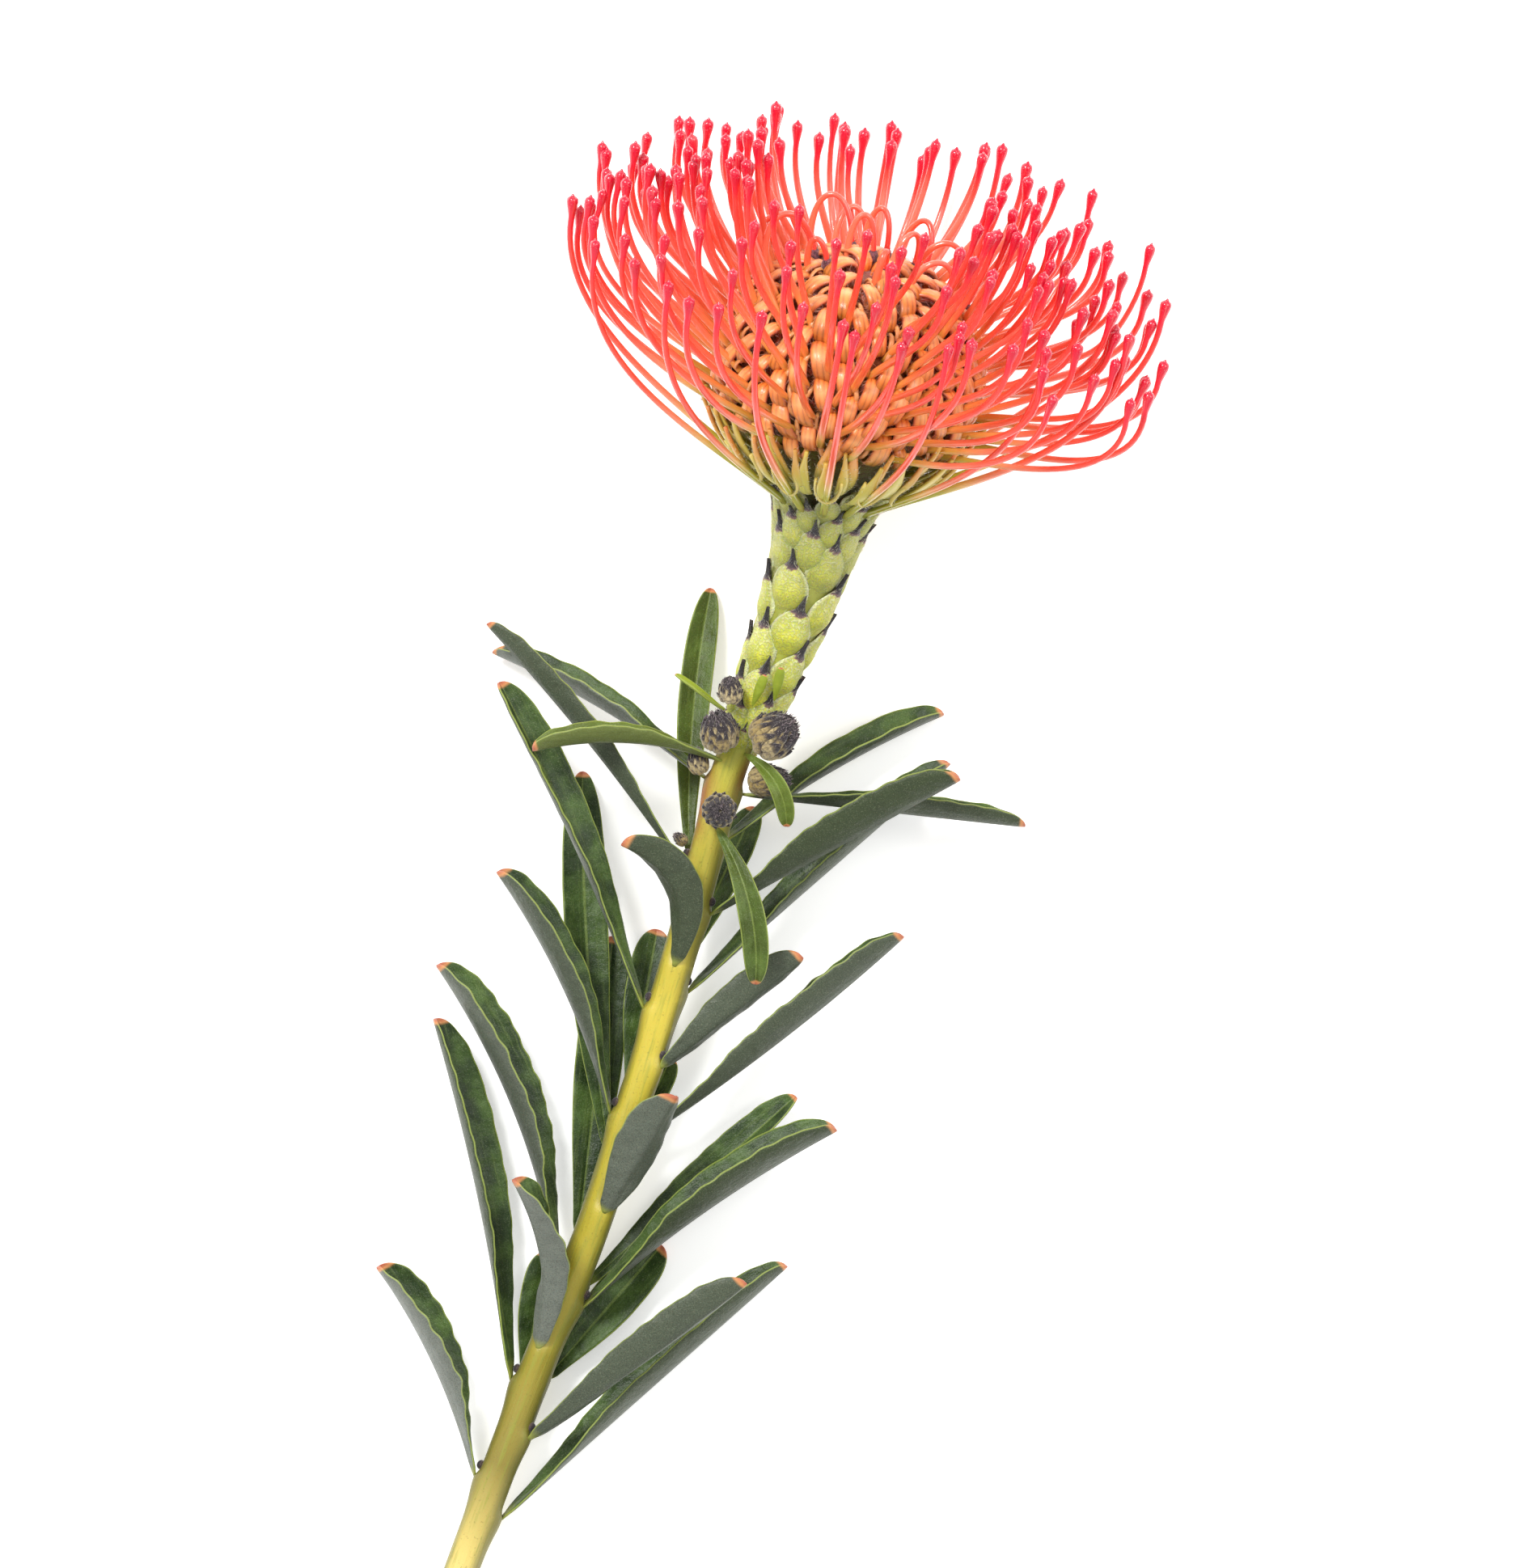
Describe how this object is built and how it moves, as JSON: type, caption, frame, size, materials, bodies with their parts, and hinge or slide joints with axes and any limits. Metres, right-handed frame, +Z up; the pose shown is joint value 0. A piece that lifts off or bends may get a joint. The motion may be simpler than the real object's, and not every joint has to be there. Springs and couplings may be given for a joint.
{
  "type": "pincushion protea flower",
  "caption": "Cut flowering stem lying on its back: a domed head ringed by long curved styles, a scaly neck, narrow leathery leaves and round woolly side buds.",
  "frame": {"origin": "on the surface that the flower lies on, under the middle of its box", "axes": "+Y along the lying stem from the cut end to the flower head, +Z up from the surface, +X to the side that the stem leans to"},
  "size_m": [0.1462, 0.2856, 0.0888],
  "materials": {
    "stem": "smooth yellow-green young stem with a thin waxy skin",
    "floret": "matte, tightly curled and finely ribbed florets with short woolly hair",
    "style": "waxy translucent coral stalk with a glossy crimson tip",
    "leaf": "leathery, satin green above and grey felted below",
    "bud": "woolly olive scales with dark tips"
  },
  "bodies": {
    "root": {"stem": "stem", "flower_head": "floret", "style_01": "style", "style_02": "style", "style_03": "style", "style_04": "style", "style_05": "style", "style_06": "style", "style_07": "style", "style_08": "style", "style_09": "style", "style_10": "style", "style_11": "style", "style_12": "style", "style_13": "style", "style_14": "style", "style_15": "style", "style_16": "style", "leaf_01": "leaf", "leaf_02": "leaf", "leaf_03": "leaf", "leaf_04": "leaf", "leaf_05": "leaf", "leaf_06": "leaf", "leaf_07": "leaf", "leaf_08": "leaf", "leaf_09": "leaf", "leaf_10": "leaf", "leaf_11": "leaf", "leaf_12": "leaf", "leaf_13": "leaf", "leaf_14": "leaf", "leaf_15": "leaf", "leaf_16": "leaf", "leaf_17": "leaf", "leaf_18": "leaf", "leaf_19": "leaf", "leaf_20": "leaf", "leaf_21": "leaf", "leaf_22": "leaf", "leaf_23": "leaf", "leaf_24": "leaf", "leaf_25": "leaf", "leaf_26": "leaf", "leaf_27": "leaf", "leaf_28": "leaf", "leaf_29": "leaf", "leaf_30": "leaf", "leaf_31": "leaf", "leaf_32": "leaf", "leaf_33": "leaf", "leaf_34": "leaf", "side_bud_1": "bud", "side_bud_2": "bud", "side_bud_3": "bud", "side_bud_4": "bud", "side_bud_5": "bud", "side_bud_6": "bud", "axil_bud": "bud"}
  },
  "joints": []
}
